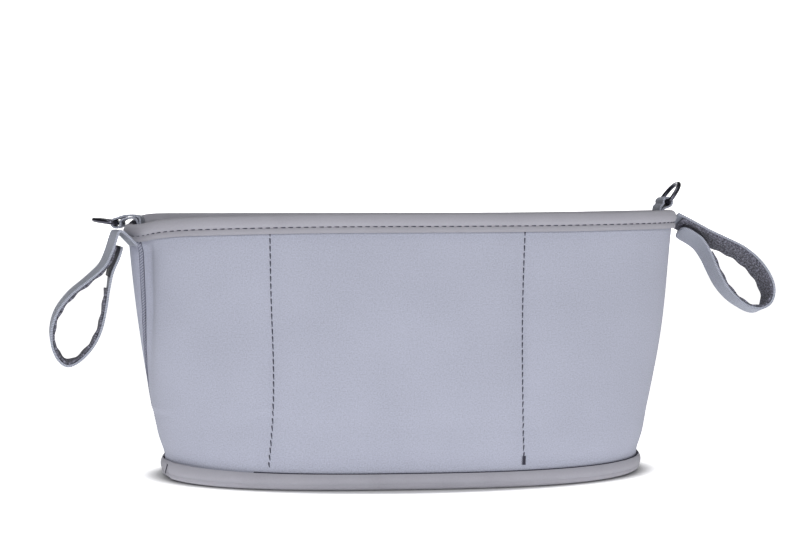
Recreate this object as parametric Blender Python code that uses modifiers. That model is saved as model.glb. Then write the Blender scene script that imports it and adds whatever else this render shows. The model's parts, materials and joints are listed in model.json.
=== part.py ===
"""A neoprene stroller organizer: an oval bag with a bound rim and base, two inner
dividers, a swinging D-ring at each end and a webbing loop with hook and loop
tape at each end. Metres, +Z up, X along the bag, the front at -Y, and the
origin at the middle of the underside of the base."""

import math

import bmesh
import bpy
from mathutils import Vector

# Driving sizes of the bag
BAG_HEIGHT = 0.163
RIM_HALF_LENGTH = 0.171
RIM_HALF_DEPTH = 0.050
BASE_HALF_LENGTH = 0.1470
BASE_HALF_DEPTH = 0.0565
ROUNDNESS = 2.5
END_BELLY = 0.0033
SIDE_BELLY = 0.005
NEOPRENE = 0.003
SEWN_NEOPRENE = 0.0021
SEAM_GAP = 0.0013
CLEARANCE = 0.00035
BINDING_CLEARANCE = 0.0007

# The rim, which sags at the left end and stands a little higher at the right
LEFT_SAG = 0.006
LEFT_SAG_ANGLE = 0.30
RIGHT_RISE = 0.002
BACK_RISE = 0.003

# Binding tape
TAPE = 0.001
RIM_LEG = 0.0135
RIM_LEG_AT_LEFT_END = 0.009
FOLD = 0.0008
BASE_LEG = 0.0115
BASE_INNER_LEG = 0.0046

# The sewn edge round the base, which leans outward inside its binding
EDGE_TOP = 0.0125
EDGE_LEAN = 0.0018
EDGE_FOOT = 0.0028
WAIST_DEPTH = 0.0014
WAIST_WIDTH = 0.008
END_LIFT = 0.002

# The side seams, as angles past the ends of the oval
LEFT_SEAM_AT_RIM = 0.20
RIGHT_SEAM_AT_RIM = 0.06
VALLEY_DEPTH = 0.0022
VALLEY_ANGLE = 0.22
VALLEY_WIDTH = 0.11

# The base panel: flat in the middle, its edge raised and turned down into the binding
BASE_CROWN = 0.0068
BASE_FLAT_INSET = 0.020
BASE_MIDDLE_INSET = 0.034

# Dividers and the stitch lines that hold them
DIVIDER_X = 0.082
DIVIDER_DROP = 0.024
DIVIDER_BINDING_LEG = 0.011
STITCH_PULL = 0.0012
STITCH_PULL_WIDTH = 0.006
POCKET_PUFF = 0.0016

# D-rings and the webbing tabs that hold them
RING_WIDTH = 0.025
RING_LENGTH = 0.0176
RING_WIRE = 0.0028
RING_CORNER = 0.0035
TAB_WIDTH = 0.0175
TAB_THICKNESS = 0.0012
TAB_SLACK = 0.0009
LEFT_BAR_OUT = 0.0053
LEFT_BAR_ABOVE_RIM = -0.0018
LEFT_RING_ANGLE = math.radians(8.0)
RIGHT_BAR_OUT = -0.0040
RIGHT_BAR_ABOVE_RIM = 0.0044
RIGHT_RING_ANGLE = math.radians(54.0)
TAB_DEPTH = 0.011

# Webbing loops
WEBBING_WIDTH = 0.020
WEBBING = 0.0014
LOOP_TAPE = 0.0012
HOOK_TAPE = 0.0012
HOOK_SHARE = 0.10
LEFT_LOOP_TAPE_START = 0.12
RIGHT_LOOP_TAPE_START = 0.02
LOOP_TAPE_END = 0.86
STRAP_CORNER = 0.006

# The middle line of each webbing loop along X and up from its root, in route units
ROUTE_UNIT = 0.001
LEFT_STRAP_ROUTE = (
    (0.0, 0.0), (-4.0, 4.5), (-7.4, 7.9), (-9.8, 8.6), (-11.4, 4.6), (-13.9, -3.4),
    (-17.8, -11.8), (-26.0, -19.8), (-35.6, -28.0), (-42.8, -37.4), (-46.2, -47.4),
    (-46.2, -57.6), (-42.8, -66.2), (-37.4, -70.4), (-30.6, -67.6), (-23.4, -59.6),
    (-18.9, -50.0), (-16.2, -38.0), (-14.5, -26.0), (-12.8, -16.2), (-9.8, -8.2),
    (-7.4, -0.6),
)  # fmt: skip
RIGHT_STRAP_ROUTE = (
    (0.0, 0.0), (10.9, -5.6), (21.8, -11.3), (32.7, -16.3), (42.3, -21.0),
    (50.8, -27.4), (57.2, -34.6), (61.7, -42.9), (62.8, -50.6), (60.4, -56.4),
    (54.6, -58.8), (46.6, -56.6), (38.1, -50.8), (30.9, -42.5), (25.6, -32.8),
    (21.2, -23.6), (16.4, -16.4), (10.1, -11.8), (3.1, -8.2),
)  # fmt: skip
LEFT_STRAP_ANGLE = 0.30
LEFT_STRAP_DROP = 0.0170
LEFT_STRAP_HEADING = 0.14
LEFT_STRAP_ACROSS = (
    (0.0, Vector((-0.62, 0.78, 0.0))),
    (0.10, Vector((-0.40, 0.92, 0.0))),
    (0.22, Vector((-0.35, 0.94, 0.0))),
    (0.40, Vector((-0.26, 0.97, 0.0))),
    (0.60, Vector((-0.16, 0.99, 0.0))),
    (0.85, Vector((-0.20, 0.98, 0.0))),
    (1.0, Vector((-0.30, 0.95, 0.0))),
)
RIGHT_STRAP_ANGLE = 0.0
RIGHT_STRAP_DROP = 0.0055
RIGHT_STRAP_ACROSS = (
    (0.0, Vector((-0.03, 0.94, -0.335))),
    (0.5, Vector((-0.03, 0.94, -0.335))),
    (0.62, Vector((-0.03, 0.99, -0.08))),
    (0.82, Vector((-0.03, 0.98, -0.14))),
    (0.92, Vector((-0.03, 0.94, -0.30))),
    (1.0, Vector((-0.03, 0.94, -0.335))),
)
LEFT_STRAP_STANDOFF = 0.00105
RIGHT_STRAP_STANDOFF = 0.0026

# Columns and rows of the cloth pieces
END_COLUMNS = 9
MIDDLE_COLUMNS = 10
EDGE_ROWS = 3
BODY_ROWS = 8
STRAP_COLUMNS = 60
TAB_COLUMNS = 26
RING_ARC_POINTS = 14

SHELL_COLOUR = (0.47, 0.49, 0.60)
BINDING_COLOUR = (0.38, 0.37, 0.41)
WEBBING_COLOUR = (0.31, 0.36, 0.42)
LOOP_COLOUR = (0.19, 0.18, 0.24)
HOOK_COLOUR = (0.05, 0.05, 0.07)
METAL_COLOUR = (0.045, 0.045, 0.06)


def start_scene():
    for thing in list(bpy.data.objects):
        bpy.data.objects.remove(thing)
    organizer = bpy.data.collections.new("stroller_organizer")
    bpy.context.scene.collection.children.link(organizer)
    return organizer


def make_material(name, colour, roughness, metallic=0.0):
    material = bpy.data.materials.new(name)
    material.use_nodes = True
    shader = material.node_tree.nodes["Principled BSDF"]
    shader.inputs["Base Color"].default_value = (*colour, 1.0)
    shader.inputs["Roughness"].default_value = roughness
    shader.inputs["Metallic"].default_value = metallic
    return material


def share(low, high, fraction):
    return low + (high - low) * fraction


# The oval section of the bag and how it changes with height
def half_length(z):
    up = z / BAG_HEIGHT
    return share(BASE_HALF_LENGTH, RIM_HALF_LENGTH, up) + END_BELLY * math.sin(math.pi * up)


def half_depth(z):
    up = z / BAG_HEIGHT
    return share(BASE_HALF_DEPTH, RIM_HALF_DEPTH, up) + SIDE_BELLY * math.sin(math.pi * up)


def rounded_power(value):
    return math.copysign(abs(value) ** (2.0 / ROUNDNESS), value)


def oval_point(angle, z):
    x = half_length(z) * rounded_power(math.cos(angle))
    y = half_depth(z) * rounded_power(math.sin(angle))
    return Vector((x, y, z))


def oval_normal(angle, z):
    step = 0.02
    along = oval_point(angle + step, z) - oval_point(angle - step, z)
    return Vector((along.y, -along.x, 0.0)).normalized()


def angle_at_x(x, z, front):
    """The angle on the oval where its front or back passes this x."""
    reach = math.copysign((abs(x) / half_length(z)) ** (ROUNDNESS / 2.0), x)
    back_angle = math.acos(reach)
    return 2.0 * math.pi - back_angle if front else back_angle


def bump(distance, width):
    return math.exp(-((distance / width) ** 2))


def from_left_end(angle):
    """How far an angle lies past the left end, towards the front."""
    return (angle % (2.0 * math.pi)) - math.pi


def end_lift(angle):
    return END_LIFT * math.cos(angle) ** 4


def rim_height(angle):
    """The top of the rim binding."""
    right = max(0.0, math.cos(angle)) ** 2
    back = max(0.0, math.sin(angle))
    sag = LEFT_SAG * bump(from_left_end(angle), LEFT_SAG_ANGLE)
    return BAG_HEIGHT - sag + RIGHT_RISE * right + BACK_RISE * back


def outward_shift(angle, z):
    """How far the shell stands out of the plain oval: the sewn edge at the foot,
    the waist over it, the pull of the stitch lines and the valley at the left seam."""
    level = z - end_lift(angle)
    edge = EDGE_LEAN * max(0.0, 1.0 - level / EDGE_TOP)
    waist = -WAIST_DEPTH * bump(level - EDGE_TOP, WAIST_WIDTH)
    x = oval_point(angle, z).x
    inside = max(0.0, 1.0 - (x / DIVIDER_X) ** 2)
    puff = POCKET_PUFF * math.sqrt(inside) * math.sin(math.pi * min(1.0, z / BAG_HEIGHT))
    above_edge = max(0.0, min(1.0, (z - EDGE_TOP) / EDGE_TOP))
    below_rim = max(0.0, min(1.0, (BAG_HEIGHT - z) / (2.0 * RIM_LEG)))
    stitched = above_edge * below_rim
    pull = -STITCH_PULL * stitched * bump(abs(x) - DIVIDER_X, STITCH_PULL_WIDTH)
    upper = max(0.0, min(1.0, (z - 0.3 * BAG_HEIGHT) / (0.4 * BAG_HEIGHT)))
    beside_seam = from_left_end(angle) - left_seam(z) - VALLEY_ANGLE
    under_rim = 1.0 - min(1.0, z / BAG_HEIGHT) ** 8
    valley = -VALLEY_DEPTH * upper * under_rim * bump(beside_seam, VALLEY_WIDTH)
    return edge + waist + puff + pull + valley


def bag_point(angle, z, out=0.0):
    return oval_point(angle, z) + oval_normal(angle, z) * (outward_shift(angle, z) + out)


def left_seam(z):
    """The left seam, as an angle past the end towards the front: it drifts with height."""
    return LEFT_SEAM_AT_RIM * min(1.0, z / BAG_HEIGHT) ** 1.5


def right_seam(z):
    """The right seam, as an angle past the end towards the back."""
    return RIGHT_SEAM_AT_RIM * min(1.0, z / BAG_HEIGHT)


# Cloth pieces: a grid whose columns and rows are laid on a surface, then thickened
def laid_cloth(name, size, place, thickness, material, into, facing=None, offset=0.0,
               closed=False, fullness=None):
    """Facing is the way that the cloth faces at its first corner, and offset is the
    side that its thickness grows on: 1 for the side it faces, -1 for the other."""
    columns, rows = size
    mesh = bpy.data.meshes.new(name)
    grid = bmesh.new()
    bmesh.ops.create_grid(grid, x_segments=columns, y_segments=rows, size=0.5)
    weight = grid.verts.layers.deform.new() if fullness else None
    first = None
    for vertex in grid.verts:
        column = round((vertex.co.x + 0.5) * columns)
        row = round((vertex.co.y + 0.5) * rows)
        vertex.co = place(column, row)
        if column == 0 and row == 0:
            first = vertex
        if fullness:
            vertex[weight][0] = fullness(row)
    if facing:
        face = first.link_faces[0]
        face.normal_update()
        if face.normal.dot(facing) < 0.0:
            bmesh.ops.reverse_faces(grid, faces=grid.faces)
    if closed:
        bmesh.ops.remove_doubles(grid, verts=grid.verts, dist=1e-6)
    grid.to_mesh(mesh)
    grid.free()
    cloth = bpy.data.objects.new(name, mesh)
    into.objects.link(cloth)
    mesh.materials.append(material)
    mesh.shade_smooth()
    wall = cloth.modifiers.new("thickness", "SOLIDIFY")
    wall.thickness = thickness
    wall.offset = offset
    wall.use_even_offset = True
    if fullness:
        cloth.vertex_groups.new(name="fullness")
        wall.vertex_group = "fullness"
    return cloth


# The two neoprene panels, which meet at the side seams
def seam_speed(angle, z):
    """Length of edge for each radian of angle."""
    step = 0.01
    return (oval_point(angle + step, z) - oval_point(angle - step, z)).length / (2.0 * step)


def panel_bounds(front, z):
    """The angles that bound the groups of columns, from one seam to the other."""
    beside = (DIVIDER_X + STITCH_PULL_WIDTH, DIVIDER_X, DIVIDER_X - STITCH_PULL_WIDTH)
    left = [angle_at_x(-x, z, front) for x in beside]
    right = [angle_at_x(x, z, front) for x in reversed(beside)]
    left_end = math.pi + left_seam(z)
    right_end = right_seam(z)
    left_gap = SEAM_GAP / 2.0 / seam_speed(left_end, z)
    right_gap = SEAM_GAP / 2.0 / seam_speed(right_end, z)
    if front:
        return [left_end + left_gap, *left, *right, 2.0 * math.pi + right_end - right_gap]
    return [right_end + right_gap, *reversed(right), *reversed(left), left_end - left_gap]


def column_angle(column, front, z):
    counts = (END_COLUMNS, 1, 1, MIDDLE_COLUMNS, 1, 1, END_COLUMNS)
    bounds = panel_bounds(front, z)
    for group, count in enumerate(counts):
        if column <= count:
            return share(bounds[group], bounds[group + 1], column / count)
        column -= count
    return bounds[-1]


def panel_columns():
    return 2 * END_COLUMNS + 4 + MIDDLE_COLUMNS


def panel_levels():
    """Height of each row on a bag with a level rim: the sewn edge has rows of its own."""
    edge = [EDGE_TOP * row / EDGE_ROWS for row in range(EDGE_ROWS)]
    body = [share(EDGE_TOP, BAG_HEIGHT, row / BODY_ROWS) for row in range(BODY_ROWS + 1)]
    return edge + body


def panel_height(level, angle):
    foot = EDGE_FOOT + end_lift(angle)
    top = rim_height(angle) - TAPE - CLEARANCE
    return share(foot, top, level / BAG_HEIGHT)


def make_panel(name, front, material, into):
    levels = panel_levels()
    top_row = len(levels) - 1

    def place(column, row):
        angle = column_angle(column, front, levels[row])
        z = panel_height(levels[row], angle)
        return bag_point(column_angle(column, front, z), z)

    def fullness(row):
        sewn = row < EDGE_ROWS or row == top_row
        return SEWN_NEOPRENE / NEOPRENE if sewn else 1.0

    facing = oval_normal(column_angle(0, front, 0.0), 0.0)
    return laid_cloth(name, (panel_columns(), top_row), place, NEOPRENE, material, into,
                      facing=facing, offset=-1.0, fullness=fullness)


# Tape folded over an edge that runs right round the bag
def angles_around(z):
    """The panels' own columns, once round from the left seam."""
    front = [column_angle(column, True, z) for column in range(panel_columns() + 1)]
    back = [column_angle(column, False, z) for column in range(1, panel_columns())]
    return front + [angle + 2.0 * math.pi for angle in back]


def make_binding(name, section, z, material, into):
    """The section gives the tape's inner face at an angle, the visible leg first."""
    angles = angles_around(z)
    rows = len(section(angles[0])) - 1

    def place(column, row):
        return section(angles[column % len(angles)])[row]

    return laid_cloth(name, (len(angles), rows), place, TAPE, material, into,
                      facing=oval_normal(angles[0], z), offset=1.0, closed=True)


def rim_leg(angle):
    return share(RIM_LEG, RIM_LEG_AT_LEFT_END, bump(from_left_end(angle), LEFT_SAG_ANGLE))


def rim_section(angle):
    top = rim_height(angle) - TAPE
    foot = rim_height(angle) - rim_leg(angle)
    outer = BINDING_CLEARANCE
    inner = -NEOPRENE - BINDING_CLEARANCE
    return [
        bag_point(angle, foot, outer),
        bag_point(angle, share(foot, top, 0.5), outer),
        bag_point(angle, top - FOLD, outer),
        bag_point(angle, top, outer - FOLD),
        bag_point(angle, top, inner + FOLD),
        bag_point(angle, top - FOLD, inner),
        bag_point(angle, share(foot, top, 0.5), inner),
        bag_point(angle, foot + FOLD, inner),
    ]


def base_section(angle):
    lift = end_lift(angle)
    floor = EDGE_FOOT - BINDING_CLEARANCE - BINDING_CLEARANCE + lift
    stack = -2.0 * SEWN_NEOPRENE - 3.0 * BINDING_CLEARANCE - CLEARANCE
    return [
        bag_point(angle, BASE_LEG + lift, BINDING_CLEARANCE),
        bag_point(angle, share(floor, BASE_LEG + lift, 0.66), BINDING_CLEARANCE),
        bag_point(angle, share(floor, BASE_LEG + lift, 0.33), BINDING_CLEARANCE),
        bag_point(angle, floor + FOLD, BINDING_CLEARANCE),
        bag_point(angle, floor, BINDING_CLEARANCE - FOLD),
        bag_point(angle, floor, stack + FOLD),
        bag_point(angle, floor + FOLD, stack),
        bag_point(angle, BASE_INNER_LEG + lift, stack),
    ]


def make_base_panel(material, into):
    """Each ring of the underside is flat and inset, or lies inside the sewn edge."""
    flat_insets = (BASE_MIDDLE_INSET, BASE_FLAT_INSET)
    sewn = SEWN_NEOPRENE + CLEARANCE
    rings = (
        (6.3 * sewn, 0.55, 0.3),
        (4.0 * sewn, 1.0, 0.6),
        (2.5 * sewn, 0.80, 0.9),
        (2.1 * sewn, 0.46, 1.0),
    )  # fmt: skip
    flat_rings = len(flat_insets)
    angles = angles_around(0.0)

    def place(column, row):
        angle = angles[column % len(angles)]
        if row < flat_rings:
            edge = oval_point(angle, 0.0)
            x = edge.x * (1.0 - flat_insets[row] / BASE_HALF_LENGTH)
            return Vector((x, edge.y * (1.0 - flat_insets[row] / BASE_HALF_DEPTH), 0.0))
        inset, height, lift = rings[row - flat_rings]
        return bag_point(angle, BASE_CROWN * height + end_lift(angle) * lift, -inset)

    def fullness(row):
        return 1.0 if row < flat_rings else SEWN_NEOPRENE / NEOPRENE

    size = (len(angles), flat_rings + len(rings) - 1)
    base = laid_cloth("base_panel", size, place, NEOPRENE, material, into,
                      facing=Vector((0.0, 0.0, -1.0)), offset=-1.0, closed=True,
                      fullness=fullness)
    skin = bmesh.new()
    skin.from_mesh(base.data)
    weight = skin.verts.layers.deform.verify()
    hole = [edge for edge in skin.edges if edge.is_boundary and edge.verts[0].co.z == 0.0]
    bmesh.ops.contextual_create(skin, geom=hole)
    for edge in hole:
        for vertex in edge.verts:
            vertex[weight][0] = 1.0
    bmesh.ops.recalc_face_normals(skin, faces=skin.faces)
    if sum(face.normal.z * face.calc_area() for face in skin.faces) > 0.0:
        bmesh.ops.reverse_faces(skin, faces=skin.faces)
    skin.to_mesh(base.data)
    skin.free()
    return base


# Dividers, sewn to both panels along the stitch lines
def divider_reach(x, z):
    """How far in Y a divider reaches at this x and height, short of the panels."""
    reach = []
    for front in (True, False):
        for face_x in (x - NEOPRENE / 2.0, x + NEOPRENE / 2.0):
            angle = angle_at_x(face_x, z, front)
            wall = (NEOPRENE + CLEARANCE) / abs(oval_normal(angle, z).y)
            reach.append(abs(bag_point(angle, z).y) - wall)
    return min(reach)


def make_divider(name, x, material, into):
    top = BAG_HEIGHT - DIVIDER_DROP
    middle_foot = NEOPRENE + CLEARANCE
    corner_foot = BASE_CROWN + NEOPRENE + 2.0 * CLEARANCE
    levels = [z for z in panel_levels() if EDGE_TOP <= z < top] + [top]
    over_crown = 0.82
    half_depth_at_x = abs(bag_point(angle_at_x(x, 0.0, True), 0.0).y)
    on_flat = 1.0 - (BASE_FLAT_INSET + NEOPRENE) / half_depth_at_x
    spots = (-1.0, -over_crown, -on_flat, 0.0, on_flat, over_crown, 1.0)

    def place(column, row):
        across = spots[column]
        foot = corner_foot if abs(across) >= over_crown else middle_foot
        z = foot if row == 0 else levels[row - 1]
        return Vector((x, across * divider_reach(x, max(z, EDGE_TOP)), z))

    return laid_cloth(name, (len(spots) - 1, len(levels)), place, NEOPRENE, material, into)


def make_divider_binding(name, x, material, into):
    top = BAG_HEIGHT - DIVIDER_DROP + CLEARANCE + FOLD
    foot = top - DIVIDER_BINDING_LEG
    side = NEOPRENE / 2.0 + CLEARANCE
    section = (
        (-side, foot), (-side, top - FOLD), (-side + FOLD, top),
        (side - FOLD, top), (side, top - FOLD), (side, foot),
    )  # fmt: skip
    columns = 4
    outer_x = x + math.copysign(side + TAPE, x)
    reach = min(divider_reach(outer_x, z) for z in (foot, top + TAPE)) - CLEARANCE

    def place(column, row):
        across, z = section[row]
        return Vector((x + across, reach * (2.0 * column / columns - 1.0), z))

    return laid_cloth(name, (columns, len(section) - 1), place, TAPE, material, into,
                      facing=Vector((-1.0, 0.0, 0.0)), offset=1.0)


# D-rings
def ring_outline():
    """The middle of the wire, out from the bar and across, in the ring's own plane."""
    half = (RING_WIDTH - RING_WIRE) / 2.0
    bow_start = RING_LENGTH - RING_WIRE - half
    corner = []
    for step in range(4):
        turn = math.radians(90.0) * step / 3
        corner.append((RING_CORNER * (1.0 - math.cos(turn)),
                       half - RING_CORNER * (1.0 - math.sin(turn))))
    bow = []
    for step in range(RING_ARC_POINTS + 1):
        turn = math.pi * step / RING_ARC_POINTS
        bow.append((bow_start + half * math.sin(turn), half * math.cos(turn)))
    other_corner = [(out, -across) for out, across in reversed(corner)]
    return corner + bow + other_corner


def make_ring(name, bar, direction, material, into):
    """A wire ring that turns about its straight bar, which lies along Y."""
    curve = bpy.data.curves.new(name, "CURVE")
    curve.dimensions = "3D"
    curve.bevel_depth = RING_WIRE / 2.0
    curve.bevel_resolution = 2
    outline = ring_outline()
    wire = curve.splines.new("POLY")
    wire.points.add(len(outline) - 1)
    for point, (out, across) in zip(wire.points, outline):
        point.co = (out, across, 0.0, 1.0)
    wire.use_cyclic_u = True
    wire.use_smooth = True
    ring = bpy.data.objects.new(name, curve)
    into.objects.link(ring)
    curve.materials.append(material)
    ring.location = bar
    ring.rotation_euler = (0.0, -direction, 0.0)
    return ring


# Webbing
def smooth_route(points, samples):
    """A Catmull-Rom curve through the points, evenly spaced along its length."""
    ends = [2 * points[0] - points[1], *points, 2 * points[-1] - points[-2]]
    fine = []
    for before, here, after, beyond in zip(ends, ends[1:], ends[2:], ends[3:]):
        for step in range(16):
            t = step / 16
            straight = 2 * here + (after - before) * t
            bend = (2 * before - 5 * here + 4 * after - beyond) * t**2
            twist = (3 * here - before - 3 * after + beyond) * t**3
            fine.append(0.5 * (straight + bend + twist))
    fine.append(points[-1])
    lengths = [0.0]
    for here, after in zip(fine, fine[1:]):
        lengths.append(lengths[-1] + (after - here).length)
    even = []
    place = 0
    for sample in range(samples + 1):
        wanted = lengths[-1] * sample / samples
        while place < len(fine) - 2 and lengths[place + 1] < wanted:
            place += 1
        span = lengths[place + 1] - lengths[place]
        even.append(fine[place].lerp(fine[place + 1], (wanted - lengths[place]) / span))
    return even


def across_at(twist, along):
    """The band's direction across it at this share of its length."""
    for (before, here), (after, beyond) in zip(twist, twist[1:]):
        if along <= after:
            break
    return here.lerp(beyond, (along - before) / (after - before)).normalized()


def make_ribbon(name, points, twist, width, thickness, material, into, side=0.0,
                span=(0.0, 1.0), rounded=False):
    """A flat band along points. Side moves it off them; span is the share of them
    that it covers; a rounded band narrows at its last end."""
    last = len(points) - 1
    first_column = round(span[0] * last)
    columns = round(span[1] * last) - first_column
    step = (points[1] - points[0]).length

    def place(column, row):
        index = first_column + column
        along = (points[min(index + 1, last)] - points[max(index - 1, 0)]).normalized()
        across = across_at(twist, index / last)
        off = across.cross(along).normalized() * side
        to_end = (last - index) * step
        half = width / 2.0
        if rounded and to_end < STRAP_CORNER:
            short = 1.0 - to_end / STRAP_CORNER
            half -= 0.8 * STRAP_CORNER * (1.0 - math.sqrt(1.0 - short**2))
        return points[index] + off + across * half * (row - 1)

    return laid_cloth(name, (columns, 2), place, thickness, material, into)


def end_direction(angle):
    return oval_normal(angle, BAG_HEIGHT)


def strap_points(angle, drop, standoff, heading, route):
    """The route from its root at this angle, laid in the upright plane that stands out
    of the rim at the heading."""
    outward = end_direction(heading)
    root = bag_point(angle, rim_height(angle) - drop, standoff)
    up = Vector((0.0, 0.0, 1.0))
    points = []
    for out, rise in route:
        level = root + outward * (out * ROUTE_UNIT / outward.x)
        points.append(level + up * rise * ROUTE_UNIT)
    return smooth_route(points, STRAP_COLUMNS)


def make_strap(side_name, points, twist, inner_side, loop_start, materials, into):
    webbing, loop, hook = materials
    off = inner_side * (WEBBING / 2.0 + CLEARANCE + LOOP_TAPE / 2.0)
    make_ribbon("strap_" + side_name, points, twist, WEBBING_WIDTH, WEBBING, webbing, into,
                rounded=True)
    make_ribbon("loop_tape_" + side_name, points, twist, WEBBING_WIDTH - 2.0 * FOLD, LOOP_TAPE,
                loop, into, side=off, span=(loop_start, LOOP_TAPE_END))
    hook_off = inner_side * (WEBBING / 2.0 + CLEARANCE + HOOK_TAPE / 2.0)
    make_ribbon("hook_tape_" + side_name, points, twist, WEBBING_WIDTH - 2.0 * FOLD, HOOK_TAPE,
                hook, into, side=hook_off, span=(1.0 - HOOK_SHARE, 1.0), rounded=True)


def tab_edge_angle():
    """The angle from the end of the oval to the edge of a tab that lies inside it."""
    half = TAB_WIDTH / 2.0 + TAB_DEPTH / 5.0
    return math.asin((half / RIM_HALF_DEPTH) ** (ROUNDNESS / 2.0))


def rim_top_at_tab(angle):
    edges = (angle - tab_edge_angle(), angle, angle + tab_edge_angle())
    return max(rim_height(edge) for edge in edges)


def bar_place(angle, bar_out, above_rim):
    """The middle of a ring's bar, out from the end of the rim and above its top."""
    end = oval_point(angle, BAG_HEIGHT)
    reach = abs(end.x) + bar_out
    return Vector((math.copysign(reach, end.x), 0.0, rim_top_at_tab(angle) + above_rim))


def make_tab(name, angle, bar, over_rim, material, into):
    """Webbing sewn inside the rim, up round the ring's bar and down again."""
    hold = RING_WIRE / 2.0 + TAB_SLACK + TAB_THICKNESS / 2.0
    layer = TAB_THICKNESS + CLEARANCE
    top = rim_top_at_tab(angle)
    lining = NEOPRENE + BINDING_CLEARANCE + TAPE + 2.0 * CLEARANCE + TAB_THICKNESS / 2.0
    edge = angle + tab_edge_angle()
    seat = abs(bag_point(edge, top, -lining).x)
    foot = abs(bag_point(edge, top - TAB_DEPTH, -lining).x)
    over = top + CLEARANCE + TAB_THICKNESS / 2.0
    reach = abs(bar.x)
    route = [(foot, top - TAB_DEPTH), (share(foot, seat, 0.5), top - TAB_DEPTH / 2.0), (seat, top)]
    arc = (-70.0, 200.0)
    inner = [(seat - 0.9 * layer, top + layer)]
    if over_rim:
        route[-1] = (seat, top - TAB_THICKNESS)
        route += [(seat + layer, over), (share(seat, reach, 0.55), over)]
        arc = (-205.0, 95.0)
        inner = [(share(seat, reach, 0.55), over + 1.1 * layer),
                 (share(seat, reach, 0.1), over + 0.9 * layer), (seat - 0.8 * layer, over)]
    for step in range(7):
        turn = math.radians(share(arc[0], arc[1], step / 6))
        route.append((reach + hold * math.cos(turn), bar.z + hold * math.sin(turn)))
    route += inner
    route += [(share(foot, seat, 0.5) - layer, top - TAB_DEPTH / 2.0), (foot - layer, top - TAB_DEPTH)]
    side = math.copysign(1.0, bar.x)
    points = [Vector((side * out, 0.0, up)) for out, up in route]
    across = Vector((0.0, 1.0, 0.0))
    make_ribbon(name, smooth_route(points, TAB_COLUMNS), ((0.0, across), (1.0, across)),
                TAB_WIDTH, TAB_THICKNESS, material, into)


def build():
    into = start_scene()
    shell = make_material("neoprene", SHELL_COLOUR, 0.9)
    binding = make_material("binding_tape", BINDING_COLOUR, 0.8)
    webbing = make_material("webbing", WEBBING_COLOUR, 0.75)
    loop = make_material("loop_tape", LOOP_COLOUR, 0.95)
    hook = make_material("hook_tape", HOOK_COLOUR, 0.6)
    metal = make_material("gunmetal", METAL_COLOUR, 0.3, 1.0)

    make_panel("front_panel", True, shell, into)
    make_panel("back_panel", False, shell, into)
    make_base_panel(shell, into)
    make_binding("rim_binding", rim_section, BAG_HEIGHT, binding, into)
    make_binding("base_binding", base_section, 0.0, binding, into)
    for side_name, x in (("left", -DIVIDER_X), ("right", DIVIDER_X)):
        make_divider("divider_" + side_name, x, shell, into)
        make_divider_binding("divider_binding_" + side_name, x, binding, into)

    left_bar = bar_place(math.pi, LEFT_BAR_OUT, LEFT_BAR_ABOVE_RIM)
    right_bar = bar_place(0.0, RIGHT_BAR_OUT, RIGHT_BAR_ABOVE_RIM)
    make_ring("ring_left", left_bar, math.pi - LEFT_RING_ANGLE, metal, into)
    make_ring("ring_right", right_bar, RIGHT_RING_ANGLE, metal, into)
    make_tab("ring_tab_left", math.pi, left_bar, True, webbing, into)
    make_tab("ring_tab_right", 0.0, right_bar, False, webbing, into)

    tapes = (webbing, loop, hook)
    left_loop = strap_points(math.pi + LEFT_STRAP_ANGLE, LEFT_STRAP_DROP, LEFT_STRAP_STANDOFF,
                             math.pi + LEFT_STRAP_HEADING, LEFT_STRAP_ROUTE)
    right_loop = strap_points(RIGHT_STRAP_ANGLE, RIGHT_STRAP_DROP, RIGHT_STRAP_STANDOFF,
                              RIGHT_STRAP_ANGLE, RIGHT_STRAP_ROUTE)
    make_strap("left", left_loop, LEFT_STRAP_ACROSS, -1.0, LEFT_LOOP_TAPE_START, tapes, into)
    make_strap("right", right_loop, RIGHT_STRAP_ACROSS, 1.0, RIGHT_LOOP_TAPE_START, tapes,
               into)


build()
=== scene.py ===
import json
import math

import bmesh
import bpy
import numpy as np
from mathutils import Matrix, Vector

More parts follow.
